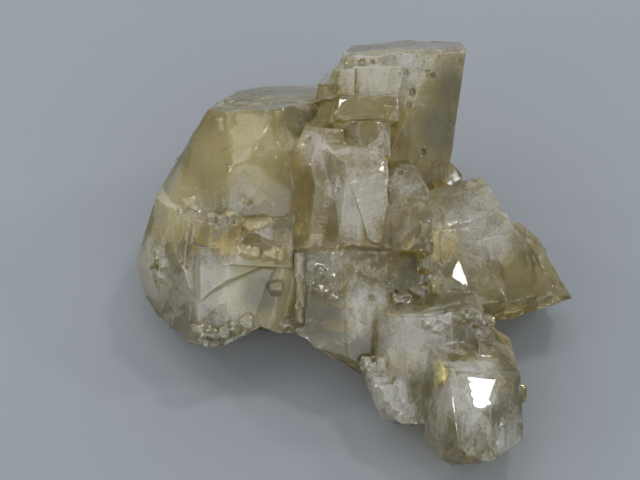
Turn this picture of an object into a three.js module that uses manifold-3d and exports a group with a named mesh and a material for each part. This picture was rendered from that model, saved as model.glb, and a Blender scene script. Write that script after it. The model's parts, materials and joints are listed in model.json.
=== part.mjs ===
// Barite: honey-coloured blocky crystals grown through each other into one hand-sized cluster.
// Everything is in millimetres. The crystals are laid out in the growth frame: x to the right,
// y away from the front, z up along their prism edges. The finished cluster leans back and rests
// on the broken faces of its underside, with its origin at the bottom centre of its box.
import * as THREE from "three";
import { mergeVertices } from "three/addons/utils/BufferGeometryUtils.js";
import Module from "manifold-3d";

const wasm = await Module();
wasm.setup();

// Driving dimensions.
const LEAN = 45; // degrees that the cluster leans back from upright
const UNDERSIDE = 17; // how far behind the growth frame's origin the broken underside lies, along y
const BLANK = 160; // edge of the block that a crystal is cut from
const TERRACE_RISE = 0.16; // height of one growth terrace over its face
const TERRACE_INSET = 2.6; // most that a terrace keeps clear of its face's edges
const TERRACE_LAYERS = 2; // terraces stacked on one face
const STEP_RISE = 0.2; // height of one long growth step
const LOWEST_TERRACE = -20; // faces that look further down than this many degrees carry none
const BEVEL = 0.035; // how deep the narrow face along a ridge cuts
const KNOB_BEVEL = 0.06; // the same on the front knob, whose ridges are more worn
const BLUNTEST_RIDGE = 14; // ridges that fold by fewer degrees than this have no narrow face
const SHARPEST_RIDGE = 120; // and neither have those that fold by more than this
const LEDGE_FACES = [8, 9]; // places in `centreBlock` of the two front faces that carry ledges
const LEDGE_RISE = 0.12; // how far each ledge there stands proud of the one above
const LEDGE_PITCH = 1.05; // from one ledge's upper edge down to the next

const radians = THREE.MathUtils.degToRad;

// A closed geometry as a solid that can be joined and cut.
function solidOf(geometry) {
  geometry.deleteAttribute("normal");
  geometry.deleteAttribute("uv");
  const merged = mergeVertices(geometry);
  return new wasm.Manifold(
    new wasm.Mesh({
      numProp: 3,
      vertProperties: new Float32Array(merged.attributes.position.array),
      triVerts: new Uint32Array(merged.index.array),
    }),
  );
}

// The direction that a face looks in, `azimuth` degrees to the right of straight forward and
// `rise` degrees up.
function direction(azimuth, rise) {
  const level = Math.cos(radians(rise));
  return [
    Math.sin(radians(azimuth)) * level,
    -Math.cos(radians(azimuth)) * level,
    Math.sin(radians(rise)),
  ];
}

// A crystal face through a point.
function face(azimuth, rise, [x, y, z]) {
  const normal = direction(azimuth, rise);
  return { normal, rise, distance: normal[0] * x + normal[1] * y + normal[2] * z };
}

// One crystal: what is left of a block behind all of its faces.
function crystal(faces) {
  let solid = solidOf(new THREE.BoxGeometry(BLANK, BLANK, BLANK));
  for (const { normal, distance } of faces) {
    if (solid.isEmpty()) break; // its faces leave nothing
    const inward = normal.map((part) => -part);
    solid = solid.trimByPlane(inward, -distance);
  }
  return solid;
}

// The same faces, with a narrow face more along each ridge where two of them meet.
function bevelled(faces, depth) {
  const ridges = [];
  faces.forEach((first, index) => {
    for (const second of faces.slice(index + 1)) {
      const both = first.normal.map((part, axis) => part + second.normal[axis]);
      const length = Math.hypot(...both);
      const fold = 2 * THREE.MathUtils.radToDeg(Math.acos(Math.min(1, length / 2)));
      if (fold < BLUNTEST_RIDGE || fold > SHARPEST_RIDGE) continue;
      const distance = (first.distance + second.distance) / length - depth;
      ridges.push({ normal: both.map((part) => part / length), distance });
    }
  });
  return [...faces, ...ridges];
}

// A repeatable uneven number from 0 to 1.
function uneven(seed) {
  const wave = Math.sin(seed * 12.9898 + 4.1414) * 43758.5453;
  return wave - Math.floor(wave);
}

// Growth terraces: low plates on a crystal's faces, their edges parallel to the crystal's own.
function terraces(faces, seed) {
  const plates = [];
  faces.forEach((carrier, index) => {
    if (carrier.rise < LOWEST_TERRACE || carrier.smooth) return;
    for (let layer = 1; layer <= TERRACE_LAYERS; layer++) {
      const plate = faces.map((other, place) => {
        const inset = 0.3 + TERRACE_INSET * uneven(seed * 31 + index * 7 + place) * layer;
        const shift = place === index ? TERRACE_RISE * layer : -inset;
        return { ...other, distance: other.distance + shift };
      });
      plates.push(crystal(plate));
    }
  });
  return plates;
}

// Long growth steps: plates on a crystal's first face, each set further back from face `edge`.
function steps(faces, edge, insets) {
  return insets.map((inset, layer) =>
    crystal(faces.map((other, place) => {
      const shift = place === 0 ? STEP_RISE * (layer + 1) : place === edge ? -inset : 0;
      return { ...other, distance: other.distance + shift };
    })),
  );
}

// The common habit: where each face looks, and how far out it lies as a share of the crystal's
// half sizes. Every face has its equal on the opposite side.
const HABIT = [
  { azimuth: -38, rise: 0, share: 0.88 },
  { azimuth: 16, rise: 0, share: 0.9 },
  { azimuth: 90, rise: 0, share: 1 },
  { azimuth: -2, rise: 32, share: 0.84 },
  { azimuth: -43, rise: 19, share: 0.86 },
  { azimuth: 27, rise: 18, share: 0.87 },
  { azimuth: -92, rise: 36, share: 0.9 },
  { azimuth: 92, rise: 38, share: 0.88 },
  { azimuth: 178, rise: 33, share: 0.85 },
  { azimuth: -11, rise: 76, share: 0.97 },
];

// A whole small crystal in that habit, with half sizes across, deep and tall.
function smallCrystal([x, y, z], [across, deep, tall], seed = 1) {
  const faces = [];
  HABIT.forEach(({ azimuth, rise, share }, index) => {
    for (const side of [0, 1]) {
      const own = share * (0.94 + 0.12 * uneven(seed * 17 + index * 2 + side));
      const turned = face(azimuth + 180 * side, side ? -rise : rise, [x, y, z]);
      const reach = turned.normal.map(Math.abs);
      const half = reach[0] * across + reach[1] * deep + reach[2] * tall;
      faces.push({ ...turned, distance: turned.distance + own * half });
    }
  });
  return crystal(faces);
}

// The big block on the left, with a pale lozenge face over a blunt upright edge.
const leftBlock = [
  face(-13, 75, [-12.4, -3.5, 16.9]), // sloping top
  face(-2, 32, [-12.4, -3.5, 16.9]), // lozenge
  face(-43, 20, [-12.4, -3.5, 16.9]), // left shoulder
  face(27, 18, [-5.8, -3.5, 17.3]), // right shoulder
  face(-66, 23, [-15.1, -1, 17.1]), // flank
  face(-97, 34, [-15.1, -1, 17.1]),
  face(-64, 19, [-21.6, 3, 7]), // lower flank
  face(-95, 18, [-21.6, 3, 7]),
  face(-35, 0, [-11.8, -8.3, 5]), // left of the upright edge
  face(14, 0, [-11.8, -8.3, 5]), // right of the upright edge
  face(-140, 22, [-12, 12, 17]),
  face(168, 16, [-4, 13, 18]),
  face(90, 0, [4, 0, 10]),
  face(-10, -72, [-12, -6, 2.2]),
];

// A stubbier block in parallel growth, showing below the big one as a ledge.
const leftLedge = [
  face(-8, 74, [-12, -8, 2.4]),
  face(-50, 4, [-15.4, -7.4, 0]),
  face(-14, 4, [-13, -9, 0]),
  face(20, 2, [-9, -8.9, 0]),
  face(90, 0, [-3.5, 0, 0]),
  face(-90, 0, [-17, 0, 0]),
  face(180, 0, [-10, 8, 0]),
  face(0, -80, [-10, -5, -4]),
];

// The low knob that closes the left end.
const leftKnob = [
  face(-92, 18, [-24.6, 2, -3]),
  face(-55, 8, [-24.6, 1, -3]),
  face(-30, 16, [-18, -6.2, 0]),
  face(-15, 62, [-19, -4, 4.4]),
  face(-92, -15, [-24.6, 2, -3]),
  face(-51, -12, [-23.8, 1, -7]),
  face(-90, -36, [-23.8, 1, -7]),
  face(-60, -19, [-21.3, -1, -10.4]),
  face(-92, -58, [-21.3, -1, -10.4]),
  face(-70, -80, [-18, -2, -12.4]),
  face(20, 12, [-16, -6.6, -2]),
  face(88, 0, [-13, 0, -5]),
  face(-140, 5, [-20, 11, -3]),
  face(180, 0, [-18, 13, -5]),
];

// The upright block at the lower left, two plates thick.
const lowerLeftBlock = [
  face(-60, 1, [-15.5, -9, -1.3]),
  face(-1, 3, [-15.5, -8.4, -1.3]),
  face(17, -3, [-10.3, -8.4, -0.8]),
  face(48, 3, [-5.6, -8.4, -6]),
  face(0, 80, [-13, -9, -1]),
  face(-92, 0, [-17.8, 0, -5]),
  face(-80, -70, [-16, -6, -13.4]),
  face(20, -84, [-14.3, -8, -13.9]),
  face(92, -62, [-11.8, -7, -13.4]),
  face(-140, -10, [-15, 5, -8]),
  face(180, 0, [-12, 6, -5]),
];
const lowerLeftPlate = [
  face(-60, 1, [-15.5, -9, -1.3]),
  face(-1, 3, [-15.5, -9.1, -1.3]), // pale face
  face(22, 2, [-11.6, -9.1, -0.8]),
  face(0, 80, [-13, -9, -0.9]),
  face(44, -46, [-12.6, -9.1, -5.8]),
  face(-90, 0, [-17, 0, -5]),
  face(0, -80, [-15, -8, -12.6]),
  face(180, 0, [-12, 0, -5]),
];

// The rough body between the lower left block and the column.
const middleBody = [
  face(-90, 0, [-16, 0, 0]),
  face(-12, 8, [-6, -7, -4]),
  face(25, 0, [-4, -6.8, -5]),
  face(90, 0, [6, 0, 0]),
  face(-88, -70, [-8.8, -4, -10.8]),
  face(60, -82, [-4, -5, -12]),
  face(0, 80, [-6, 0, 8]),
  face(180, 10, [-2, 16, 0]),
  face(-135, 20, [-12, 12, 2]),
];

// The centre block, nearest the front, with a long lozenge face.
const centreBlock = [
  face(2, 20, [3.2, -10.5, 9.9]), // lozenge
  face(-43, 6, [3.2, -10.5, 9.9]), // left shoulder
  face(29, 13, [7.6, -10.3, 10]), // right shoulder
  face(0, 51, [3.2, -10.5, 9.9]),
  face(-42, 34, [0.3, -7.5, 11.7]),
  face(-42, 11, [-4.2, -4, 9.9]),
  face(-90, 24, [-2.2, -4, 14.6]),
  face(-90, 3, [-4.3, -4, 9.9]),
  face(-12, 2, [0, -10.6, 0]),
  face(20, 0, [6, -11.2, 0]),
  face(86, 5, [8.9, -4, 9]),
  face(6, 78, [4, -5, 13.9]),
  face(0, -76, [4, -8, -1.6]),
  face(180, 8, [4, 12, 0]),
];
const centreTop = [
  face(6, 79, [-2, -5, 14.9]),
  face(-90, 24, [-2.2, -4, 14.6]),
  face(-42, 24, [-1, -5.6, 14]),
  face(-40, 4, [-3.6, -6.2, 8]),
  face(-4, 20, [1, -6.6, 14]),
  face(-12, 1, [-1, -8.9, 4]),
  face(-91, 1, [-4.2, -4, 6]),
  face(90, 4, [3.1, -5, 14]),
  face(0, -80, [0, -5, -1.5]),
  face(180, 0, [0, 6, 12]),
];

// The smaller block at the centre's right shoulder, with a bevelled top.
const shoulderBlock = [
  face(-3, 43, [8.8, -9, 5.3]), // bevel
  face(0, 3, [8.8, -9, 5.3]),
  face(92, 26, [12.4, -5, 9.8]),
  face(93, 3, [14.2, -9, 5.6]),
  face(-80, 5, [8.6, -7, 5]),
  face(0, 78, [10, -5.4, 9.8]),
  face(0, -80, [10, -8, -1.6]),
  face(180, 0, [10, 8, 0]),
];

// The column below the centre.
const lowerColumn = [
  face(-92, 1, [-2.6, -7, -1.3]),
  face(-21, 2, [-2.6, -7, -1.3]),
  face(6, 3, [3.2, -9.5, -7.7]),
  face(25, 2, [8.4, -9, -7.7]),
  face(94, 0, [14.3, -6, -4]),
  face(-97, -56, [-2.2, -7, -12.7]),
  face(-50, -60, [2.6, -8.4, -15.2]),
  face(0, 78, [4, -9.4, -1.2]),
  face(180, 0, [4, 10, -8]),
  face(120, -30, [14, 6, -10]),
];

// The tall blade at the upper right, tapering downwards, with a second plate on its left half.
const tallBlade = [
  face(-7, 77, [4, 1, 24.9]), // top
  face(-10, 13, [4, 1, 24.8]), // pale front
  face(47, -4, [17, -0.5, 24.8]), // right front
  face(30, -6, [13.2, -1.8, 19.6]), // dark lower right front
  face(94, -8.6, [19.6, 2, 24.8]), // right edge
  face(-94, 16, [3.6, 4, 25.7]),
  face(97, -57, [16.9, 2, 7.9]),
  face(155, 8, [14, 13, 20]),
  face(-155, 12, [8, 12, 22]),
  face(-30, -50, [8, 2, 5]),
];
const upperPlate = [
  face(-7, 76, [4, 0.4, 24.6]),
  face(-8, 6, [4, -0.5, 24.5]),
  face(-93, 22, [3.3, 1, 25.2]),
  face(-50, 30, [3.2, 0.5, 24.6]),
  face(60, 5, [8.3, -0.6, 24]),
  face(0, -80, [5, 0, 17]),
  face(180, 0, [5, 9, 20]),
];

// Blocks stepping down from the tall blade's left side.
const upperStep = [
  face(-6, 78, [2.6, -2.4, 22.9]),
  face(-4, 6, [6, -3.4, 20]),
  face(92, 0, [10.7, -3, 22]),
  face(-94, 12, [4.4, -1, 22.9]),
  face(-45, 6, [5.2, -3.4, 22]),
  face(40, -20, [9.9, -3.5, 18.6]),
  face(180, 0, [6, 6, 20]),
  face(0, -84, [6, 0, 12]),
];
const middleStep = [
  face(-6, 78, [1.8, -2.2, 22.7]),
  face(-8, 6, [3, -3.9, 20]),
  face(92, 2, [4.6, -3, 20]),
  face(-94, 20, [1.8, -2.2, 22.7]),
  face(-48, 12, [2, -2.9, 22]),
  face(0, -80, [3, -2, 15]),
  face(180, 0, [3, 6, 20]),
];
const lowerStep = [
  face(-6, 78, [0, -2.8, 20.9]),
  face(-36, 4, [0, -4, 19.6]),
  face(14, 4, [1, -4.6, 19.6]),
  face(92, 0, [2.1, -3, 20]),
  face(-94, 10, [-0.2, -2.8, 20.7]),
  face(0, -80, [1, -2, 18]),
  face(180, 0, [1, 6, 19]),
];
const brightStep = [
  face(-6, 76, [2.4, -5, 18.9]),
  face(-34, 30, [2.4, -5, 18.5]), // takes the brightest glint
  face(-6, 5, [6, -6.4, 17]),
  face(32, 8, [9.2, -6, 17]),
  face(-90, 8, [2.1, -5, 18]),
  face(92, 0, [10.2, -3, 18]),
  face(-40, -50, [2.4, -5.4, 15.6]),
  face(0, -70, [3, -6, 15.6]),
  face(180, 0, [3, 4, 18]),
];

// A thin ledge under those steps.
const underStep = [
  face(-8, 74, [2.2, -5.6, 15.7]),
  face(-34, 8, [1.8, -4.8, 15]),
  face(0, 12, [5, -7, 15]),
  face(38, 6, [8.2, -6.4, 15]),
  face(92, 0, [9, 0, 15]),
  face(-90, 0, [1.6, 0, 15]),
  face(0, -70, [3, -6, 11]),
  face(180, 0, [3, 4, 15]),
];

// The broad blade at the right, seen flat on: two plates in parallel growth.
const rightBlade = [
  { ...face(9, 13, [21.7, 0, 8.3]), smooth: true },
  face(93, 32, [21.7, 0, 8.3]),
  face(-92, 76, [21.7, 0, 8.3]),
  face(21, -57, [32.8, -2, -7.5]),
  face(97, -72, [23.6, 0, -10.9]),
  face(176, -4, [24, 8.5, 0]),
  face(-90, 0, [8, 0, 0]),
];
const rightPlate = [
  { ...face(9, 13, [25.4, -1.2, 2.4]), smooth: true },
  face(-92, 83, [25.4, -1, 2.4]),
  face(93, 46, [26.4, -1, 2.5]),
  face(93, 29, [28.8, -1, 0.3]),
  face(21, -57, [32.8, -2.2, -7.5]),
  face(97, -72, [23.6, 0, -10.9]),
  face(176, -4, [24, 6, 0]),
  face(-92, 0, [16, 0, 0]),
];

// The block behind the front knob.
const lowerRightBlock = [
  face(-4, 72, [10.1, -14, -9.9]),
  face(0, 11, [10.1, -14, -9.9]),
  face(-34, 4, [7.9, -12.5, -9.7]),
  face(-92, 1, [7.4, -11, -9.2]),
  face(27, 5, [16.1, -14, -10.1]),
  face(94, 4, [21, -11, -10.3]),
  face(-88, -60, [9.4, -12, -22.6]),
  face(0, -84, [12, -13, -23.4]),
  face(180, 0, [12, 2, -14]),
];

// The knob at the front, lowest right, with wedge faces that point down.
const frontKnob = [
  face(10, 34, [17.8, -19.5, -16.4]), // brightest lozenge
  face(17, 62, [17.8, -19.5, -16.4]),
  face(-18, 30, [15.7, -19, -16.7]), // narrow lozenge
  face(14, 20, [17.1, -22.3, -19]),
  face(-53, 16, [15.4, -17.5, -15]),
  face(-57, -5, [16.7, -22.5, -21.8]),
  face(0, 3, [17.1, -22.5, -25.3]),
  face(52, 7, [22.6, -19, -16.9]),
  face(94, 1, [25.3, -15, -17.4]),
  face(55, 50, [22.9, -13, -14.2]),
  face(-40, -62, [14.4, -20, -26.4]),
  face(12, -80, [18, -21, -27.6]),
  face(97, -70, [19.8, -20, -27.4]),
  face(-92, -45, [13.5, -17, -25.4]),
  face(-90, 0, [13.1, -14, -20]),
  face(180, 10, [20, -6, -20]),
];

// A small block that juts from the front knob's right side.
const rightNub = [
  face(92, 45, [25.3, -13, -17.8]),
  face(92, 0, [26, -13, -19]),
  face(10, 20, [25, -16, -18.6]),
  face(40, -10, [25.6, -16, -19]),
  face(92, -60, [26, -13, -20.3]),
  face(-90, 0, [20, 0, -19]),
  face(180, 0, [25, -8, -19]),
];

// The small knob left of the front knob.
const sideKnob = [
  face(-11, 24, [7, -13, -17.8]),
  face(-92, -24, [5.9, -11, -18.3]),
  face(-60, 2, [6.6, -12.6, -19]),
  face(-6, -42, [8.2, -14.5, -20.6]),
  face(-92, -60, [8, -12, -22.8]),
  face(-30, -84, [9, -12, -23.2]),
  face(65, 10, [10.5, -13.5, -17.5]),
  face(0, 70, [8, -11, -16.4]),
  face(180, 0, [10, -4, -20]),
];

const largeCrystals = [
  leftBlock, leftLedge, leftKnob, lowerLeftBlock, lowerLeftPlate, middleBody, centreBlock,
  centreTop, shoulderBlock, lowerColumn, tallBlade, upperPlate, upperStep, middleStep, lowerStep,
  brightStep, underStep, rightBlade, rightPlate, lowerRightBlock, frontKnob, rightNub, sideKnob,
];

// Blocks that crowd the back of the cluster: middle, then half sizes.
const backCrystals = [
  [[-10.5, 9, 8], [6, 6, 7]],
  [[-4, 11, 5], [7, 7, 9]],
  [[-15, 8, -1], [6, 6, 7]],
  [[4, 11, 12], [6, 5, 8]],
  [[11.5, 11, 15], [5, 5, 8]],
  [[13, 8, 2], [6, 6, 8]],
  [[19, 6, -2], [5, 5, 6]],
  [[4, 8, -4], [7, 7, 7]],
  [[-7, 6, -3], [6, 6, 7]],
  [[14, 1, -9], [5.5, 7, 6]],
  [[9, 14, 8], [3.4, 3.4, 5]],
  [[-2, 15, 10], [3, 3, 4]],
  [[-11, 13, 10], [3, 3, 3.4]],
  [[25, 6, -4], [3.6, 3.6, 2.8]],
  [[15, 12, 12], [2.6, 2.6, 4]],
  [[18, -7, -16], [4.4, 5, 6]],
];

// Small crystals set into ledges and re-entrant corners: middle, then half sizes.
const ledgeCrystals = [
  [[-8, -8.2, 1.1], [2.2, 1.7, 1.7]],
  // Along the foot of the left block.
  [[-16.9, -4.6, 4.5], [1.2, 0.9, 0.9]],
  [[-17.8, -4.2, 3.8], [0.8, 0.8, 0.7]],
  [[-13.8, -7.6, 2.6], [0.9, 0.7, 0.8]],
  [[-12.7, -8.2, 2.4], [0.7, 0.8, 0.7]],
  [[-11.4, -8, 2.6], [0.9, 0.8, 1]],
  [[-10.4, -8.6, 2.2], [0.6, 0.6, 0.6]],
  // On the left knob.
  [[-21.6, -2.4, -2.8], [1.1, 0.9, 0.9]],
  [[-20.9, -3.6, -2], [0.9, 0.9, 1.1]],
  [[-20.3, -4.4, -3.2], [0.8, 0.8, 0.8]],
  [[-21.1, -3, -4.6], [1, 0.9, 0.8]],
  // Under the left ledge, and down the seam beside the column.
  [[-9.9, -8.9, -1.4], [1, 0.8, 0.7]],
  [[-8.6, -8.9, -1.6], [0.8, 0.7, 0.8]],
  [[-6.7, -8, -1.6], [1.1, 0.8, 0.9]],
  [[-5.4, -7.6, -1.9], [0.8, 0.7, 1]],
  [[-5.8, -7.2, -6.2], [0.9, 0.7, 0.7]],
  [[-2.6, -7, -3.2], [0.7, 0.8, 1.6]],
  [[-2.5, -7.1, -6.8], [0.6, 0.8, 2]],
  [[-2.7, -7.1, -9.8], [0.7, 0.7, 1.5]],
  // Along the lower edge on the left.
  [[-15.6, -8.2, -11.6], [1.2, 1, 0.8]],
  [[-14.3, -8.3, -12.1], [1.1, 1, 0.7]],
  [[-12.9, -8, -12], [1.3, 0.9, 0.8]],
  [[-11.4, -7.6, -11.4], [1.1, 0.9, 0.8]],
  [[-9.9, -7.1, -10.7], [1.2, 0.9, 0.8]],
  [[-3.9, -6.1, -11], [1.1, 0.9, 0.8]],
  // Between the shoulder and the right blade.
  [[13.4, -8.9, 1.3], [0.7, 0.7, 1.3]],
  [[13.9, -8.8, -0.8], [0.8, 0.8, 0.9]],
  [[13.6, -6.4, -3], [1, 0.9, 1.2]],
  [[14.6, -5.6, -4.6], [0.9, 0.9, 0.9]],
  [[15.2, -6.1, -6.2], [0.9, 0.8, 1.1]],
  [[12.6, -6.9, -6.8], [1.1, 0.9, 0.9]],
  [[10.6, -8.4, -7.8], [1.2, 1, 0.8]],
  // At the column's lower corner, and the bulge beneath it.
  [[6.3, -10.6, -15.8], [1.1, 1, 0.9]],
  [[7.3, -11.4, -16.4], [1, 0.9, 0.8]],
  [[8.2, -12.6, -16.1], [0.9, 0.8, 1.1]],
  [[6.8, -11.3, -17.2], [1, 0.9, 0.9]],
  [[7.8, -12.7, -18.4], [1.2, 0.9, 1]],
  [[8.7, -13.6, -19.8], [1.4, 1.1, 1.4]],
  [[9.7, -13.8, -21.1], [1.3, 1.1, 1.1]],
  [[10.6, -13.9, -19.2], [1.2, 1, 1.8]],
  // Round the rim of the lower right block.
  [[13.8, -13.7, -10.6], [0.9, 0.9, 0.7]],
  [[14.9, -13.9, -11.3], [0.8, 0.7, 0.7]],
  [[15.8, -13.4, -10.3], [1, 0.8, 0.7]],
  [[17.2, -12.9, -9.8], [1.3, 0.9, 0.6]],
  [[18.7, -12.2, -9.6], [1.2, 0.9, 0.7]],
  [[19.8, -11.7, -10.4], [0.9, 0.9, 1]],
  [[20.3, -11.4, -11.6], [0.8, 0.8, 1.2]],
  [[21.2, -10.4, -10.7], [1.2, 1, 0.8]],
];

// Etched pits on the faces, with the half size of each.
const pits = [
  [[5.7, -0.8, 23.7], 0.34],
  [[7, -1, 23.6], 0.3],
  [[7.9, -1.1, 23.9], 0.26],
  [[10.7, -3.5, 21.7], 0.32],
  [[11.4, -1, 22.3], 0.36],
  [[14.3, -1.4, 22.2], 0.4],
  [[12.2, -1.7, 19.6], 0.42],
  [[11.8, -2, 17.9], 0.3],
  [[15, -1, 21.9], 0.34],
  [[13.8, -0.7, 11.7], 0.36],
  [[-1.6, -5.6, 13.1], 0.42],
  [[2.6, -10.3, 7.5], 0.4],
  [[2.2, -10.1, 6.4], 0.28],
  [[10.5, -5.7, 8.9], 0.36],
  [[9.9, -8.2, -6.7], 0.3],
  [[11.3, -7.6, -6.9], 0.36],
  [[6.7, -9.2, -7.6], 0.3],
];

// Growth ledges over the centre block's front ridge, each lower and prouder than the last.
const centreLedges = [0, 1, 2, 3, 4, 5].map((layer) => crystal([
  ...centreBlock.map((other, place) => {
    const shift = LEDGE_FACES.includes(place) ? LEDGE_RISE * (layer + 1) : 0;
    return { ...other, distance: other.distance + shift };
  }),
  face(-16, 60, [5.5, -11.2, 7.8 - LEDGE_PITCH * layer]),
  face(-75, -17, [3.2, -11, 9]),
  face(80, -8, [8.5, -11, 4]),
  face(0, -60, [5, -11.2, -0.4]),
]));

const solids = [...centreLedges];
largeCrystals.forEach((faces, index) => {
  const depth = faces === frontKnob ? KNOB_BEVEL : BEVEL;
  solids.push(crystal(bevelled(faces, depth)), ...terraces(faces, index + 1));
});
solids.push(
  ...steps(rightBlade, 2, [1.2, 2.1, 4.4, 5.3, 7.9]),
  ...steps(rightPlate, 3, [1.6, 2.6, 5.8, 7.7]),
  ...steps(lowerColumn, 0, [1.4, 3.2]),
);
[...backCrystals, ...ledgeCrystals].forEach(([middle, halves], index) => {
  solids.push(smallCrystal(middle, halves, index + 1));
});
let cluster = wasm.Manifold.union(solids.filter((solid) => !solid.isEmpty()));
const etched = pits.map(([middle, half], index) =>
  smallCrystal(middle, [half, half, half], index + 60));
cluster = cluster.subtract(wasm.Manifold.union(etched));
// Hollows that the crystals close off all round are grown solid.
cluster = wasm.Manifold.compose(cluster.decompose().filter((body) => body.volume() > 0));

// The underside is broken off flat, level with the ground once the cluster leans back.
const underside = face(180, LEAN - 90, [0, UNDERSIDE, 0]);
cluster = cluster.trimByPlane(underside.normal.map((part) => -part), -underside.distance);

const cut = cluster.getMesh();
const geometry = new THREE.BufferGeometry();
geometry.setAttribute("position", new THREE.BufferAttribute(cut.vertProperties, 3));
geometry.setIndex(new THREE.BufferAttribute(cut.triVerts, 1));
const flatShaded = geometry.toNonIndexed();
flatShaded.computeVertexNormals();

const barite = new THREE.MeshStandardMaterial({
  color: new THREE.Color(0.56, 0.51, 0.37), roughness: 0.2, metalness: 0,
});
const mesh = new THREE.Mesh(flatShaded, barite);
mesh.name = "barite_crystals";
mesh.rotation.x = radians(-LEAN);
mesh.updateMatrixWorld(true);
const box = new THREE.Box3().setFromObject(mesh, true);
mesh.position.set(
  -(box.min.x + box.max.x) / 2, -(box.min.y + box.max.y) / 2, -box.min.z,
);

const group = new THREE.Group();
group.add(mesh);
export default group;
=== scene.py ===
"""A cluster of honey-coloured barite crystals, dressed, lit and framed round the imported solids."""

import json
import math
import random

import bpy
import numpy as np
from bpy.props import FloatProperty, FloatVectorProperty, IntProperty, PointerProperty
from mathutils import Matrix, Vector, noise
from mathutils.bvhtree import BVHTree

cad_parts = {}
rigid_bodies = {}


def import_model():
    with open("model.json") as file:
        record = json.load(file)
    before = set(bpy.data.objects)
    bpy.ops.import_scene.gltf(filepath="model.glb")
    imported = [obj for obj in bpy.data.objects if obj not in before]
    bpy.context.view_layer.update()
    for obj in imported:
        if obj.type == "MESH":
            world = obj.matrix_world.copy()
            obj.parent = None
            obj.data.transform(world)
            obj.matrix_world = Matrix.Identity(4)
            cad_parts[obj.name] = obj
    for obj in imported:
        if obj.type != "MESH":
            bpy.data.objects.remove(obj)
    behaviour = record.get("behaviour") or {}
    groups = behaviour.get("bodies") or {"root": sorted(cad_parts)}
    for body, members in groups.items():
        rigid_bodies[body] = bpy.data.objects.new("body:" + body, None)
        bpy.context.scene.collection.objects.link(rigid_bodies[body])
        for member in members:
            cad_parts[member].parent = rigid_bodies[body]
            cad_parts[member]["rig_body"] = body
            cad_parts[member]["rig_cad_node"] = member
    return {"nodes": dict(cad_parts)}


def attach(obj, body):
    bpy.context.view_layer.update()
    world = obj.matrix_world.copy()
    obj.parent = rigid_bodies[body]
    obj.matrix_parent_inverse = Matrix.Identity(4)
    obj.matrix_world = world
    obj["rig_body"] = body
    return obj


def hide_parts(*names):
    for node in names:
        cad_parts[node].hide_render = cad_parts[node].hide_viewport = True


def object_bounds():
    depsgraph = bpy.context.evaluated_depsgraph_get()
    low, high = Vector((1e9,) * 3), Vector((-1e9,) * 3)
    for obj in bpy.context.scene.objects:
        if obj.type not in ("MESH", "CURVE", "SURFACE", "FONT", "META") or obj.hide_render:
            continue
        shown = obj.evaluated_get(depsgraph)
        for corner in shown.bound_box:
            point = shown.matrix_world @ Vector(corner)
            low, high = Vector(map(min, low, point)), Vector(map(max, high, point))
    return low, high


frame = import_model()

bl_info = {
    "name": "Barite cluster",
    "version": (1, 0, 0),
    "blender": (4, 5, 0),
    "location": "View3D > Sidebar > Barite",
    "description": "Gives a barite crystal cluster its surface, light and view",
    "category": "Object",
}

MM = 0.001
SOLID = "barite_crystals"
CAD_BOX = [list(corner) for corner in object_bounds()]

# The growth frame: x to the right, y away from the front, z up along the prism edges. The
# cluster leans back from it, and its origin lies here in the part's own frame.
GROWTH_ORIGIN = Vector((-4.35, 3.33, 12.02)) * MM
LEAN = math.radians(45)
TO_PART = Matrix.Translation(GROWTH_ORIGIN) @ Matrix.Rotation(-LEAN, 4, "X")
TO_GROWTH = TO_PART.inverted()


class CrystalSizes(bpy.types.PropertyGroup):
    """How fine the crystal surface is, how high its relief stands, and its inner cracks."""

    longest_edge: FloatProperty(
        name="Longest edge", description="Longest mesh edge left on a face",
        default=0.7 * MM, unit="LENGTH", precision=5,
    )
    wave_height: FloatProperty(
        name="Wave height", description="How far a face strays from flat",
        default=0.008 * MM, unit="LENGTH", precision=5,
    )
    terrace_height: FloatProperty(
        name="Terrace height", description="Height of the finest growth terraces",
        default=0.015 * MM, unit="LENGTH", precision=5,
    )
    chip_depth: FloatProperty(
        name="Chip depth", description="Deepest chip along a sharp edge",
        default=0.07 * MM, unit="LENGTH", precision=5,
    )
    fracture_depth: FloatProperty(
        name="Fracture depth", description="Relief of the broken faces",
        default=0.3 * MM, unit="LENGTH", precision=5,
    )
    crack_count: IntProperty(
        name="Cracks", description="How many cracks lie inside the crystals",
        default=64, min=0,
    )
    crack_depth: FloatProperty(
        name="Crack depth",
        description="How far inside the surface a crack's middle lies at least",
        default=1.1 * MM, unit="LENGTH", precision=5,
    )
    crack_gap: FloatProperty(
        name="Crack gap", description="How wide a crack gapes",
        default=0.06 * MM, unit="LENGTH", precision=5,
    )


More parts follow.
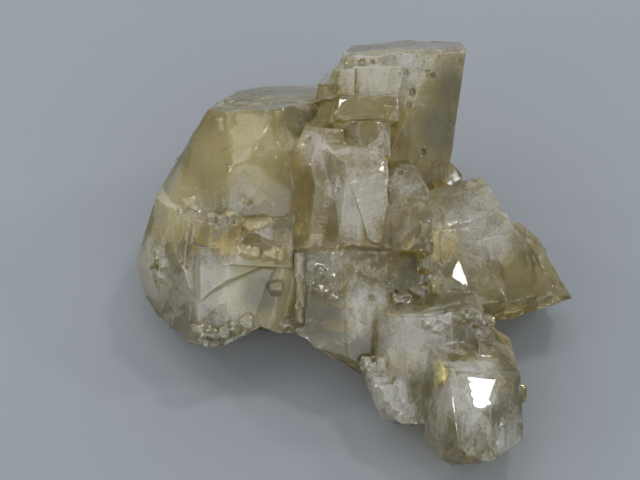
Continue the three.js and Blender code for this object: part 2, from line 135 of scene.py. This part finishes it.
class CrystalColours(bpy.types.PropertyGroup):
    """The crystal's colours and how it passes light."""

    honey: FloatVectorProperty(
        name="Honey", description="Colour of the tinted zones",
        subtype="COLOR", size=4, default=(0.42, 0.345, 0.088, 1), min=0, max=1,
    )
    pale: FloatVectorProperty(
        name="Pale", description="Colour of the clouded zones",
        subtype="COLOR", size=4, default=(0.72, 0.69, 0.61, 1), min=0, max=1,
    )
    stain: FloatVectorProperty(
        name="Stain", description="Colour of the iron-stained seams, tips and specks",
        subtype="COLOR", size=4, default=(0.26, 0.19, 0.07, 1), min=0, max=1,
    )
    # Painted shade: the colour mixed into the faces that look away from the painted light.
    painted_shade: FloatVectorProperty(
        name="Deep sectors", description="Colour of the growth sectors that look aside",
        subtype="COLOR", size=4, default=(0.27, 0.22, 0.085, 1), min=0, max=1,
    )
    smoke: FloatVectorProperty(
        name="Smoke", description="Colour of the dark, smoky zones",
        subtype="COLOR", size=4, default=(0.07, 0.062, 0.035, 1), min=0, max=1,
    )
    absorbed: FloatVectorProperty(
        name="Absorption colour", description="What is left of white light deep inside",
        subtype="COLOR", size=4, default=(0.82, 0.73, 0.32, 1), min=0, max=1,
    )
    absorption: FloatProperty(
        name="Absorption", description="How strongly the inside tints light, per metre",
        default=135, min=0,
    )


class StageSettings(bpy.types.PropertyGroup):
    """The floor, the lights and the view."""

    floor_colour: FloatVectorProperty(
        name="Floor", description="Colour of the floor",
        subtype="COLOR", size=4, default=(0.25, 0.264, 0.278, 1), min=0, max=1,
    )
    sky_strength: FloatProperty(
        name="Sky", description="Strength of the light from all round",
        default=1.12, min=0,
    )
    soft_power: FloatProperty(
        name="Soft light", description="Power of the large soft light overhead, in watts",
        default=0.3, min=0,
    )
    spark_power: FloatProperty(
        name="Spark lights", description="Power of a small mirrored light of strength 1, in watts",
        default=0.2, min=0,
    )
    view_distance: FloatProperty(
        name="View distance", description="From the growth frame's origin to the camera",
        default=283 * MM, unit="LENGTH",
    )
    lens: FloatProperty(
        name="Lens", description="Focal length in millimetres on a 36 mm wide sensor",
        default=119.4,
    )


class Value:
    """A node socket that can be written in sums, with numbers or other sockets."""

    def __init__(self, shader, socket):
        self.shader = shader
        self.socket = socket

    def _math(self, operation, *terms):
        values = dict(enumerate(terms))
        return self.shader.node("ShaderNodeMath", {"operation": operation}, values)

    def __add__(self, other):
        return self._math("ADD", self, other)

    def __radd__(self, other):
        return self._math("ADD", other, self)

    def __sub__(self, other):
        return self._math("SUBTRACT", self, other)

    def __rsub__(self, other):
        return self._math("SUBTRACT", other, self)

    def __mul__(self, other):
        return self._math("MULTIPLY", self, other)

    def __rmul__(self, other):
        return self._math("MULTIPLY", other, self)

    def snapped(self):
        """The whole number below a value."""
        return self._math("FLOOR", self)

    def most(self, other):
        """The larger of two values."""
        return self._math("MAXIMUM", self, other)

    def between(self, low, high, least=0.0, most=1.0):
        """`least` below low, `most` above high, smooth between."""
        settings = {"interpolation_type": "SMOOTHSTEP"}
        values = {
            "Value": self, "From Min": low, "From Max": high, "To Min": least, "To Max": most,
        }
        return self.shader.node("ShaderNodeMapRange", settings, values, "Result")


class Shader:
    """The node tree of a material or a world, filled in by calls that return sockets."""

    # A Mix node has several sockets of one name. These numbers are those for colours.
    FIRST_COLOUR = 6
    SECOND_COLOUR = 7
    MIXED_COLOUR = 2

    def __init__(self, owner):
        owner.use_nodes = True
        self.owner = owner
        self.tree = owner.node_tree
        self.tree.nodes.clear()

    def node(self, kind, settings=None, values=None, output=0):
        """Adds a node with its settings and its sockets' values or links, and gives one output."""
        made = self.tree.nodes.new(kind)
        for name, setting in (settings or {}).items():
            setattr(made, name, setting)
        for name, value in (values or {}).items():
            if isinstance(value, Value):
                self.tree.links.new(value.socket, made.inputs[name])
            else:
                made.inputs[name].default_value = value
        return Value(self, made.outputs[output]) if made.outputs else None

    def mix(self, factor, first, second):
        """Two colours mixed by a factor."""
        values = {0: factor, self.FIRST_COLOUR: first, self.SECOND_COLOUR: second}
        return self.node("ShaderNodeMix", {"data_type": "RGBA"}, values, self.MIXED_COLOUR)

    def mapping(self, where, **changes):
        """A place moved, turned and scaled, as the Mapping node's sockets say."""
        values = {"Vector": where, **changes}
        return self.node("ShaderNodeMapping", {"vector_type": "POINT"}, values)

    def along(self, place, direction):
        """How far a place lies in this direction."""
        values = {0: place, 1: direction}
        return self.node("ShaderNodeVectorMath", {"operation": "DOT_PRODUCT"}, values, "Value")

    def noise(self, where, scale, detail=2.0, roughness=0.5, distortion=0.0):
        """Soft noise from 0 to 1, with this many features in a unit of length."""
        values = {
            "Vector": where, "Scale": scale, "Detail": detail,
            "Roughness": roughness, "Distortion": distortion,
        }
        return self.node("ShaderNodeTexNoise", None, values, "Fac")

    def attribute(self, name):
        """A value kept on the mesh's vertices or faces."""
        return self.node("ShaderNodeAttribute", {"attribute_name": name}, None, "Fac")

    def cells(self, where):
        """A value from 0 to 1 that changes from one straight-sided cell to the next."""
        cell = self.node("ShaderNodeTexVoronoi", None, {"Vector": where, "Scale": 1.0}, "Color")
        return self.node("ShaderNodeSeparateColor", None, {"Color": cell}, "Red")

    def dots(self, where):
        """How far the nearest of many scattered points is."""
        return self.node("ShaderNodeTexVoronoi", None, {"Vector": where, "Scale": 1.0}, "Distance")

    def principled(self, values):
        """A surface of one finish."""
        return self.node("ShaderNodeBsdfPrincipled", None, values)

    def finish(self, kind, values):
        """Closes the tree with an output node of this kind."""
        self.node(kind, None, values)
        return self.owner


def growth_coordinates(shader):
    """The place of a surface point in the growth frame, in millimetres."""
    place = shader.node("ShaderNodeTexCoord", output="Object")
    return shader.mapping(
        place, Location=tuple(TO_GROWTH.translation / MM), Rotation=(LEAN, 0, 0),
        Scale=(1 / MM,) * 3,
    )


def stretched(shader, where, scale):
    """A place scaled along each axis, for patterns longer one way than another."""
    return shader.mapping(where, Scale=scale)


def turned(shader, where, degrees, scale):
    """A place turned about the axes and then scaled, so that a pattern lies along a cleavage."""
    turn = tuple(math.radians(angle) for angle in degrees)
    return stretched(shader, shader.mapping(where, Rotation=turn), scale)


# Zones of the cluster in the growth frame, in millimetres: middle and radius. The milky ones are
# paler and more clouded than the rest, the honey ones deeper in colour, the rusty ones stained,
# most of all along their ridges, the dark ones smoky, and the dull ones evenly clouded.
ZONES = {
    "milky": (
        ((-14, -9, -6), 5), ((5.5, -11, 5), 4.5), ((12.5, -14, -12), 5), ((18, -21, -19), 5),
        ((21, -3, 3), 6), ((9, -2, 23.5), 7), ((-1.5, -7, 12), 3.5), ((6, -9, -9), 4),
        ((-21, 0, -4), 5), ((8, -13, -20), 4), ((10.5, -8, 8.5), 3), ((23, -19, -25), 4),
    ),
    "honey": (
        ((16, 0, 13), 8), ((18, 0, 19), 5), ((-1, -8, -8), 5), ((-4, -6, 8), 5), ((11, -9, -1), 4),
        ((31, -2, -7), 6), ((-13, -4, 11), 8),
    ),
    "rusty": (((33, -2, -7), 5), ((28, -2, 0), 3.5), ((25, -2, -11), 4)),
    "dark": (((16.5, 0, 15), 6), ((18, 0, 20), 4.5), ((-7.5, -7, -7), 4.5)),
    "dull": (((-11, -4, 11), 8), ((-17, -2, 5), 6), ((-8, -7, -5), 6)),
}
# Each zone fades out between 0.3 and 1.3 times its radius.
ZONE_REACH = 1.3
# The direction, in the growth frame, of the painted light: faces that look away from it are painted
# with shade.
PAINTED_LIGHT_DIRECTION = Vector((0.15, -0.75, 0.65))

# How barite bends light.
BARITE_IOR = 1.637
# What a clear, a clouded and a smoky face let through.
CLEAR_TINT = (0.93, 0.88, 0.64, 1)
CLOUDED_TINT = (0.97, 0.97, 0.95, 1)
SMOKY_TINT = (0.6, 0.56, 0.42, 1)
# How far light of each colour, and all of it, spreads under the clouded surface.
SPREAD_BY_COLOUR = (1.0, 0.85, 0.5)
SPREAD = 3 * MM
# The relief that is in the shading alone: its depth, and how much of it shows.
BUMP_DEPTH = 0.08 * MM
BUMP_STRENGTH = 0.45
# Into how many steps each growth pattern is cut, and how high one of them stands in the relief.
CONTOUR_STEPS = 14
CONTOUR_HEIGHT = 0.08


def growth_relief(shader, where, sheets, walls, grain, flakes):
    """The height of the growth contours, flakes and grain, with etched pits in them."""
    contours = (
        (sheets * CONTOUR_STEPS).snapped() * CONTOUR_HEIGHT
        + (walls * CONTOUR_STEPS).snapped() * CONTOUR_HEIGHT
    )
    pits = 1 - shader.dots(stretched(shader, where, (1.1, 1.1, 1.1))).between(0.12, 0.22)
    return contours + sheets * 0.2 + grain * 0.25 + flakes * 0.1 - pits * 0.5


def crystal_material(colours):
    """Clear crystal that absorbs light, mixed with a clouded one: patterns and zones set how
    much of each there is, and the colour, gloss and relief."""
    shader = Shader(bpy.data.materials.new("barite"))
    where = growth_coordinates(shader)

    # Growth patterns, the painted highlight along the ridges, broken into patches, and how sharp the
    # seams are.
    sheets = shader.noise(turned(shader, where, (14, 0, 12), (0.25, 0.25, 1.6)), 1.0, 3, 0.55)
    walls = shader.noise(turned(shader, where, (0, 0, 40), (1.6, 0.2, 0.14)), 1.0, 3, 0.55)
    ridge_patches = shader.noise(where, 1.4, 3, 0.6).between(0.42, 0.6)
    # The ridges, in patches: they carry a painted highlight, and in the rusty zones a stain.
    ridge_highlight_and_stain = shader.attribute("ridge_highlight_and_stain").between(0.75, 1.0) * ridge_patches
    seam = shader.attribute("seam").between(0.35, 1.0)
    grain = shader.noise(where, 2.6, 4, 0.7)
    shards = shader.cells(turned(shader, where, (14, 0, 30), (0.2, 0.2, 0.15)))
    flakes = shader.cells(turned(shader, where, (40, 20, 10), (0.45, 0.5, 0.4)))
    milky, honey, rusty, dark, dull = (shader.attribute(name) for name in ZONES)
    # Painted shade: how far each face looks away from the painted light.
    painted_shade_mask = 1 - shader.attribute("painted_light_facing").between(0.2, 1.0)
    threads = shader.noise(stretched(shader, where, (1.2, 1.2, 0.3)), 1.0, 4, 0.7, 0.8)

    # How pale each place is, how much of it is clouded, and how stained it is.
    # Pale straight-sided patches: partly clouded veils, partly a painted reflection of inner
    # cleavage planes.
    veils_and_reflections = shards * 0.2 + flakes * 0.16 + grain * 0.5 + threads * 0.4 - 0.2
    pale = (veils_and_reflections + milky * 0.27 - honey * 0.2).between(0.2, 0.8)
    pale = pale * (1 - dull * 0.75) + dull * 0.16
    # The ridges are more clouded, as part of their painted highlight.
    clouded = 0.16 + pale * 0.26 + ridge_highlight_and_stain * 0.25 + seam * 0.15 + dark * 0.65 + dull * 0.42
    stained = shader.noise(where, 0.4, 3, 0.7, 1.0).between(0.62, 0.75) * 0.4 + seam * 0.5
    stained = stained + rusty * (ridge_highlight_and_stain * 0.5 + threads.between(0.45, 0.6) * 0.6 + 0.4)
    specks = grain.between(0.66, 0.72)

    # The colour of the clouded crystal, and the fainter one of the clear crystal's faces.
    # The ridges take the pale colour: a painted highlight along the edges.
    body = shader.mix(pale.most(ridge_highlight_and_stain), tuple(colours.honey), tuple(colours.pale))
    body = shader.mix(stained + specks * 0.3 + honey * 0.35, body, tuple(colours.stain))
    # Painted shade on the faces that look away from the painted light.
    body = shader.mix(painted_shade_mask * 0.4, body, tuple(colours.painted_shade))
    body = shader.mix(dark * 0.85, body, tuple(colours.smoke))
    tint = shader.mix(pale, CLEAR_TINT, CLOUDED_TINT)
    tint = shader.mix(dark, tint, SMOKY_TINT)

    relief = growth_relief(shader, where, sheets, walls, grain, flakes)
    roughness = 0.02 + shards * 0.03 + grain.between(0.55, 0.8) * 0.08
    bump_values = {"Strength": BUMP_STRENGTH, "Distance": BUMP_DEPTH, "Height": relief}
    bump = shader.node("ShaderNodeBump", None, bump_values, "Normal")

    clear_crystal = shader.principled({
        "Base Color": tint,
        "Roughness": roughness,
        "IOR": BARITE_IOR,
        "Transmission Weight": 1.0,
        "Normal": bump,
    })
    clouded_crystal = shader.principled({
        "Base Color": body,
        "Roughness": roughness,
        "IOR": BARITE_IOR,
        "Subsurface Weight": 0.5,
        "Subsurface Radius": SPREAD_BY_COLOUR,
        "Subsurface Scale": SPREAD,
        "Normal": bump,
    })
    parts = {0: clouded, 1: clear_crystal, 2: clouded_crystal}
    surface = shader.node("ShaderNodeMixShader", None, parts)
    volume = shader.node("ShaderNodeVolumeAbsorption", None, {
        "Color": tuple(colours.absorbed), "Density": colours.absorption,
    })
    return shader.finish("ShaderNodeOutputMaterial", {"Surface": surface, "Volume": volume})


# The floor's grain: how many features it has in a metre, and the shade of its darker ones.
FLOOR_GRAIN = 900
FLOOR_SHADE = 0.96


def floor_material(stage):
    """Plain matt paper with a faint grain."""
    shader = Shader(bpy.data.materials.new("floor"))
    place = shader.node("ShaderNodeTexCoord", output="Object")
    grain = shader.noise(place, FLOOR_GRAIN, 3)
    shade = tuple(part * FLOOR_SHADE for part in stage.floor_colour[:3]) + (1,)
    colour = shader.mix(grain, tuple(stage.floor_colour), shade)
    surface = shader.principled({"Base Color": colour, "Roughness": 0.8})
    return shader.finish("ShaderNodeOutputMaterial", {"Surface": surface})


# The sky, in the part's own frame: its colour, the direction in which it is dimmest, and where
# the room has dark recesses, low on either side.
SKY_COLOUR = (0.88, 0.93, 1)
DIM_SKY = (-0.1, 0.5, 0.85)
RECESSES = ((0.885, -0.42, 0.18), (-0.87, 0.42, 0.26))


def studio_world(stage):
    """Light from all round with the soft light and dark of a room, brighter low in front."""
    shader = Shader(bpy.data.worlds.new("studio"))
    place = shader.node("ShaderNodeTexCoord", output="Generated")
    height = shader.along(place, tuple(Vector(DIM_SKY).normalized()))
    panels = shader.noise(place, 1.7, 1).between(0.42, 0.58, 0.45, 1.6)
    light = height.between(-0.2, 1, 1.45, 0.8) * panels
    for direction in RECESSES:
        light = light * shader.along(place, direction).between(0.82, 0.95, 1, 0.22)
    scaled = {0: SKY_COLOUR, "Scale": light}
    tint = shader.node("ShaderNodeVectorMath", {"operation": "SCALE"}, scaled)
    glow = {"Color": tint, "Strength": stage.sky_strength}
    sky = shader.node("ShaderNodeBackground", None, glow)
    return shader.finish("ShaderNodeOutputWorld", {"Surface": sky})


# Before the copy of the solid is refined, its doubled vertices are merged within this distance,
# and faces that are flat to each other within this angle become one.
MERGE_DISTANCE = 0.002 * MM
FLAT_ANGLE = math.radians(0.3)
# The most rounds of halving that refining takes.
MOST_ROUNDS = 12
# Faces that meet at less than this are shaded as one smooth surface.
SMOOTH_ANGLE = math.radians(24)


def only(obj):
    """Leaves this object alone selected and active."""
    bpy.ops.object.select_all(action="DESELECT")
    obj.select_set(True)
    bpy.context.view_layer.objects.active = obj


def select_long_edges(obj, longest):
    """Selects, in edit mode, the edges longer than this. Returns how many there are."""
    bpy.ops.object.mode_set(mode="OBJECT")
    mesh = obj.data
    places = np.empty(len(mesh.vertices) * 3)
    mesh.vertices.foreach_get("co", places)
    places = places.reshape(-1, 3)
    ends = np.empty(len(mesh.edges) * 2, dtype=int)
    mesh.edges.foreach_get("vertices", ends)
    ends = ends.reshape(-1, 2)
    long = np.linalg.norm(places[ends[:, 0]] - places[ends[:, 1]], axis=1) > longest
    mesh.vertices.foreach_set("select", np.zeros(len(mesh.vertices), dtype=bool))
    mesh.polygons.foreach_set("select", np.zeros(len(mesh.polygons), dtype=bool))
    mesh.edges.foreach_set("select", long)
    bpy.ops.object.mode_set(mode="EDIT")
    return int(long.sum())


def refine(obj, longest):
    """Splits the mesh until no edge is longer than this."""
    bpy.ops.object.mode_set(mode="EDIT")
    bpy.context.tool_settings.mesh_select_mode = (False, True, False)
    for _ in range(MOST_ROUNDS):
        if not select_long_edges(obj, longest):
            break
        bpy.ops.mesh.subdivide(number_cuts=1)
        bpy.ops.mesh.select_all(action="SELECT")
        bpy.ops.mesh.quads_convert_to_tris(quad_method="BEAUTY", ngon_method="BEAUTY")
    bpy.ops.object.mode_set(mode="OBJECT")


def sharp_vertices(mesh, least):
    """How sharp the sharpest ridge and the sharpest seam at each vertex are, as the sine of half
    the fold."""
    ridges = [0.0] * len(mesh.vertices)
    seams = [0.0] * len(mesh.vertices)
    sides = {}
    for polygon in mesh.polygons:
        for key in polygon.edge_keys:
            sides.setdefault(key, []).append(polygon)
    for key, pair in sides.items():
        if len(pair) != 2:
            continue
        first, second = pair
        fold = first.normal.angle(second.normal, 0)
        if fold < least:
            continue
        kept = ridges if (second.center - first.center).dot(first.normal) < 0 else seams
        for index in key:
            kept[index] = max(kept[index], math.sin(fold / 2))
    return ridges, seams


def keep_values(mesh, name, values, domain="POINT"):
    """Keeps one value for each vertex or face as an attribute that the material reads."""
    mesh.attributes.new(name, "FLOAT", domain).data.foreach_set("value", values)


def zone_values(places, zones):
    """For each place, 1 well inside any of these zones, falling to 0 outside them."""
    most = np.zeros(len(places))
    for middle, radius in zones:
        away = np.linalg.norm(places - np.array(middle), axis=1) / radius
        near = np.clip(ZONE_REACH - away, 0, 1)
        most = np.maximum(most, near * near * (3 - 2 * near))
    return most


def colour_in(mesh):
    """Keeps where the zones lie, and how far each face looks towards the painted light, which sets
    its painted shade.
    """
    places = np.array([(TO_GROWTH @ vertex.co) / MM for vertex in mesh.vertices])
    for name, zones in ZONES.items():
        keep_values(mesh, name, zone_values(places, zones))
    turn = TO_GROWTH.to_3x3()
    # How far each face looks towards the painted light, for its painted shade.
    light_facings = [max(0, (turn @ polygon.normal).dot(PAINTED_LIGHT_DIRECTION)) for polygon in mesh.polygons]
    keep_values(mesh, "painted_light_facing", light_facings, "FACE")


# A fold of at least this much counts as a ridge or a seam. How sharp it is, up to 1, is the sine
# of half the fold, multiplied by this for a ridge and by this for a seam.
LEAST_FOLD = math.radians(10)
RIDGE_GAIN = 3
SEAM_GAIN = 2
# The vertices lower than this are on the resting face, and stay where they are.
RESTING_HEIGHT = 0.02 * MM
# These keep the torn patches and the chips from following the other patterns.
PATCH_SHIFT = Vector((7, 3, 1))
CHIP_SHIFT = Vector((3, 9, 4))


def within_one(value):
    """The nearest value from 0 to 1."""
    return max(0, min(1, value))


def terraces(place):
    """Irregular growth terraces, as a height that climbs in steps of a quarter."""
    field = noise.noise(Vector((place.x * 0.16, place.y * 0.16, place.z * 0.12))) * 3.2
    field += 0.5 * noise.noise(place * 0.5)
    step = math.floor(field)
    rise = min(1, (field - step) * 5)
    return (step + rise) / 4


def broken(place, normal):
    """How broken a face is, from 0 to 1: the underside, and some torn patches."""
    down = within_one((-normal.z - 0.35) * 4)
    patch = noise.noise(place * 0.12 + PATCH_SHIFT) * 2 - 0.35
    return max(down, within_one(patch * 3))


def relieve(obj, sizes):
    """Moves the vertices along their normals: waves, terraces, broken faces and chipped edges."""
    mesh = obj.data
    ridges, seams = sharp_vertices(mesh, LEAST_FOLD)
    # How sharp each ridge is, kept for the painted highlight along the ridges and the stain on them.
    keep_values(mesh, "ridge_highlight_and_stain", [min(1, RIDGE_GAIN * value) for value in ridges])
    keep_values(mesh, "seam", [min(1, SEAM_GAIN * value) for value in seams])
    normals = [vertex.normal.copy() for vertex in mesh.vertices]
    turn = TO_GROWTH.to_3x3()
    places = [(TO_GROWTH @ vertex.co) / MM for vertex in mesh.vertices]
    sound = zone_values(np.array(places), ZONES["dull"])
    for vertex, place, normal, fold, whole in zip(mesh.vertices, places, normals, ridges, sound):
        if vertex.co.z < RESTING_HEIGHT:
            continue
        torn = broken(place, turn @ normal) * (1 - whole)
        height = sizes.wave_height * noise.noise(place * 0.22)
        height += sizes.terrace_height * (terraces(place) - 0.5) * (1 - torn)
        height += sizes.fracture_depth * torn * noise.fractal(place * 0.55, 0.8, 2.1, 5)
        if fold:
            chip = max(0, noise.noise(place * 0.9 + CHIP_SHIFT) + 0.25)
            height -= sizes.chip_depth * fold * (0.25 + 1.6 * chip * chip)
        vertex.co += normal * height
        vertex.co.z = max(vertex.co.z, 0)
    mesh.update()


# The planes that cracks inside the crystals keep to, as azimuth and rise in degrees in the growth
# frame, and how far a crack strays from its plane.
CLEAVAGES = ((-12, 76), (-38, 3), (48, 10), (-60, 24), (0, 36), (-14, 42), (12, 30), (4, 20))
CLEAVAGE_SPREAD = 5

# The big block on the left has no cracks. It reaches this far to the right and this far down in
# the growth frame, in millimetres.
SOUND_BLOCK_RIGHT = 0
SOUND_BLOCK_FOOT = 3

# The draws for the cracks: the seed, the most tries, and how many sides a crack may have.
CRACK_SEED = 11
MOST_TRIES = 4000
CRACK_SIDES = (4, 4, 5, 6)
# How far past a face that a ray has met it goes on.
RAY_STEP = 0.002 * MM


def facing(azimuth, rise):
    """The direction that looks this many degrees right of forward and up, in the growth frame."""
    level = math.cos(math.radians(rise))
    turn = math.radians(azimuth)
    return Vector((math.sin(turn) * level, -math.cos(turn) * level, math.sin(math.radians(rise))))


def add_crack(middle, across, radius, gap, draw):
    """One flat crack with uneven straight sides, added to the mesh in edit mode."""
    spin = Matrix.Rotation(draw.uniform(0, math.tau), 3, "Z")
    turn = (across.to_track_quat("Z", "Y").to_matrix() @ spin).to_euler()
    bpy.ops.mesh.select_all(action="DESELECT")
    bpy.ops.mesh.primitive_circle_add(
        vertices=draw.choice(CRACK_SIDES), radius=radius, fill_type="NGON",
        location=middle, rotation=turn, scale=(1, draw.uniform(0.5, 1), 1),
    )
    bpy.ops.transform.vertex_random(offset=0.08 * radius, uniform=1, seed=draw.randrange(1000))
    bpy.ops.mesh.extrude_region_move(TRANSFORM_OT_translate={"value": across * gap})


def room_inside(tree, place):
    """How far this place lies inside the surface, or 0 where it lies outside."""
    for axis in (Vector((1, 0, 0)), Vector((0, 1, 0)), Vector((0, 0, 1))):
        start = place
        hits = 0
        while True:
            hit, _, _, _ = tree.ray_cast(start, axis)
            if hit is None:
                break
            hits += 1
            start = hit + axis * RAY_STEP
        if hits % 2 == 0:
            return 0
    return tree.find_nearest(place)[3]


def crack_places(cluster, sizes, draw):
    """The middle, direction and radius of each crack, drawn so that it is clear of the surface."""
    turn = TO_PART.to_3x3()
    low, high = (Vector(corner) for corner in CAD_BOX)
    tree = BVHTree.FromPolygons(
        [vertex.co.copy() for vertex in cluster.data.vertices],
        [tuple(polygon.vertices) for polygon in cluster.data.polygons],
    )
    places = []
    for _ in range(MOST_TRIES):
        if len(places) == sizes.crack_count:
            break
        middle = Vector(draw.uniform(a, b) for a, b in zip(low, high))
        azimuth, rise = draw.choice(CLEAVAGES)
        azimuth += draw.gauss(0, CLEAVAGE_SPREAD)
        rise += draw.gauss(0, CLEAVAGE_SPREAD)
        across = (turn @ facing(azimuth, rise)).normalized()
        deep = room_inside(tree, middle)
        within = TO_GROWTH @ middle / MM
        sound = within.x < SOUND_BLOCK_RIGHT and within.z > SOUND_BLOCK_FOOT
        if deep < sizes.crack_depth or sound:
            continue
        places.append((middle, across, deep * draw.uniform(0.5, 0.88)))
    return places


def add_cracks(cluster, sizes):
    """Cracks inside the crystals: thin gaps on the cleavage planes."""
    draw = random.Random(CRACK_SEED)
    places = crack_places(cluster, sizes, draw)
    if not places:
        return
    only(cluster)
    bpy.ops.mesh.primitive_circle_add(vertices=4)
    cracks = bpy.context.active_object
    bpy.ops.object.mode_set(mode="EDIT")
    bpy.ops.mesh.delete(type="VERT")
    for middle, across, radius in places:
        add_crack(middle, across, radius, sizes.crack_gap, draw)
    bpy.ops.mesh.select_all(action="SELECT")
    bpy.ops.mesh.normals_make_consistent(inside=True)
    bpy.ops.object.mode_set(mode="OBJECT")
    only(cluster)
    cracks.select_set(True)
    bpy.ops.object.join()


class BARITE_OT_cluster(bpy.types.Operator):
    """Copies the solid cluster and gives its faces growth relief, chips and clear crystal"""

    bl_idname = "barite.cluster"
    bl_label = "Crystal cluster"

    def execute(self, context):
        sizes = context.scene.crystal_sizes
        solid = frame["nodes"][SOLID]
        only(solid)
        bpy.ops.object.duplicate()
        cluster = context.active_object
        cluster.name = "crystal_cluster"
        cluster.parent = None
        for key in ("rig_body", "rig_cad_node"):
            if key in cluster:
                del cluster[key]
        only(cluster)
        bpy.ops.object.mode_set(mode="EDIT")
        bpy.ops.mesh.select_all(action="SELECT")
        bpy.ops.mesh.remove_doubles(threshold=MERGE_DISTANCE)
        bpy.ops.mesh.dissolve_limited(angle_limit=FLAT_ANGLE)
        bpy.ops.mesh.quads_convert_to_tris(quad_method="BEAUTY", ngon_method="BEAUTY")
        refine(cluster, sizes.longest_edge)
        colour_in(cluster.data)
        relieve(cluster, sizes)
        add_cracks(cluster, sizes)
        bpy.ops.object.shade_smooth_by_angle(angle=SMOOTH_ANGLE)
        cluster.data.materials.clear()
        cluster.data.materials.append(crystal_material(context.scene.crystal_colours))
        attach(cluster, "root")
        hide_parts(SOLID)
        return {"FINISHED"}


# Single faces that mirror a small light: a place on each in the growth frame, in millimetres, the
# direction of its light in the part's own frame, how strong the light is, and its width in metres.
SPARKS = (
    ((20.4, -20.1, -18), (0.32, 0.352, 0.88), 1.8, 0.045),
    ((15.4, -19.5, -18), (-0.807, 0.297, 0.513), 1, 0.05),
    ((17, -22, -22.5), (-0.787, -0.513, 0.348), 1, 0.05),
    ((3.3, -5.7, 18.3), (-0.656, 0.54, 0.528), 1.4, 0.05),
    ((18.3, -4.9, -4.2), (0.775, 0.069, 0.628), 1.4, 0.05),
)
# How far from its face each of them stands.
SPARK_DISTANCE = 0.5

# The soft light stands at the first place, looks at the second, and is this wide.
SOFT_LIGHT_PLACE = (-0.08, 0.12, 0.60)
SOFT_LIGHT_TARGET = (0, 0, 0.01)
SOFT_LIGHT_WIDTH = 0.2

FLOOR_WIDTH = 4
# The camera's sensor is this wide, in millimetres, and it sees nothing nearer than this.
SENSOR_WIDTH = 36
NEAREST_VIEW = 0.01


class BARITE_OT_stage(bpy.types.Operator):
    """Adds the floor, the lights and the camera"""

    bl_idname = "barite.stage"
    bl_label = "Stage"

    def execute(self, context):
        stage = context.scene.barite_stage
        self.add_floor(stage)
        self.add_lights(context, stage)
        self.add_camera(context, stage)
        return {"FINISHED"}

    def add_floor(self, stage):
        bpy.ops.object.select_all(action="DESELECT")
        bpy.ops.mesh.primitive_plane_add(size=FLOOR_WIDTH, location=(0, 0, 0))
        floor = bpy.context.active_object
        floor.name = "floor"
        floor.data.materials.append(floor_material(stage))

    def add_lights(self, context, stage):
        context.scene.world = studio_world(stage)
        context.scene.view_settings.view_transform = "Standard"
        self.add_light(
            "soft light", SOFT_LIGHT_PLACE, SOFT_LIGHT_TARGET, SOFT_LIGHT_WIDTH, stage.soft_power,
        )
        for number, (middle, direction, strength, width) in enumerate(SPARKS, start=1):
            face = TO_PART @ (Vector(middle) * MM)
            place = face + Vector(direction).normalized() * SPARK_DISTANCE
            power = strength * stage.spark_power
            self.add_light(f"spark light {number}", place, face, width, power)

    def add_light(self, name, place, target, width, power):
        """A square light at one place, turned towards another."""
        bpy.ops.object.light_add(type="AREA", location=place)
        light = bpy.context.active_object
        light.name = name
        light.data.size = width
        light.data.energy = power
        aim = Vector(target) - Vector(place)
        light.rotation_mode = "QUATERNION"
        light.rotation_quaternion = aim.to_track_quat("-Z", "Y")

    def add_camera(self, context, stage):
        eye = TO_PART @ Vector((0, -stage.view_distance, 0))
        ahead = (TO_PART.to_3x3() @ Vector((0, 1, 0))).normalized()
        bpy.ops.object.camera_add(location=eye)
        camera = context.active_object
        camera.data.sensor_width = SENSOR_WIDTH
        camera.data.lens = stage.lens
        camera.rotation_mode = "QUATERNION"
        camera.rotation_quaternion = ahead.to_track_quat("-Z", "Y")
        camera.data.clip_start = NEAREST_VIEW
        context.scene.camera = camera


class BARITE_PT_panel(bpy.types.Panel):
    """Lists the cluster's operators and settings"""

    bl_label = "Barite"
    bl_space_type = "VIEW_3D"
    bl_region_type = "UI"
    bl_category = "Barite"

    def draw(self, context):
        layout = self.layout
        for settings, operator in (
            (context.scene.crystal_sizes, BARITE_OT_cluster.bl_idname),
            (context.scene.crystal_colours, None),
            (context.scene.barite_stage, BARITE_OT_stage.bl_idname),
        ):
            for name in settings.__annotations__:
                layout.prop(settings, name)
            if operator:
                layout.operator(operator)


CLASSES = (
    CrystalSizes, CrystalColours, StageSettings,
    BARITE_OT_cluster, BARITE_OT_stage, BARITE_PT_panel,
)


def register():
    for made in CLASSES:
        bpy.utils.register_class(made)
    bpy.types.Scene.crystal_sizes = PointerProperty(type=CrystalSizes)
    bpy.types.Scene.crystal_colours = PointerProperty(type=CrystalColours)
    bpy.types.Scene.barite_stage = PointerProperty(type=StageSettings)


def unregister():
    del bpy.types.Scene.barite_stage
    del bpy.types.Scene.crystal_colours
    del bpy.types.Scene.crystal_sizes
    for made in reversed(CLASSES):
        bpy.utils.unregister_class(made)


def main():
    register()
    bpy.ops.barite.cluster()
    bpy.ops.barite.stage()


if __name__ == "__main__":
    main()
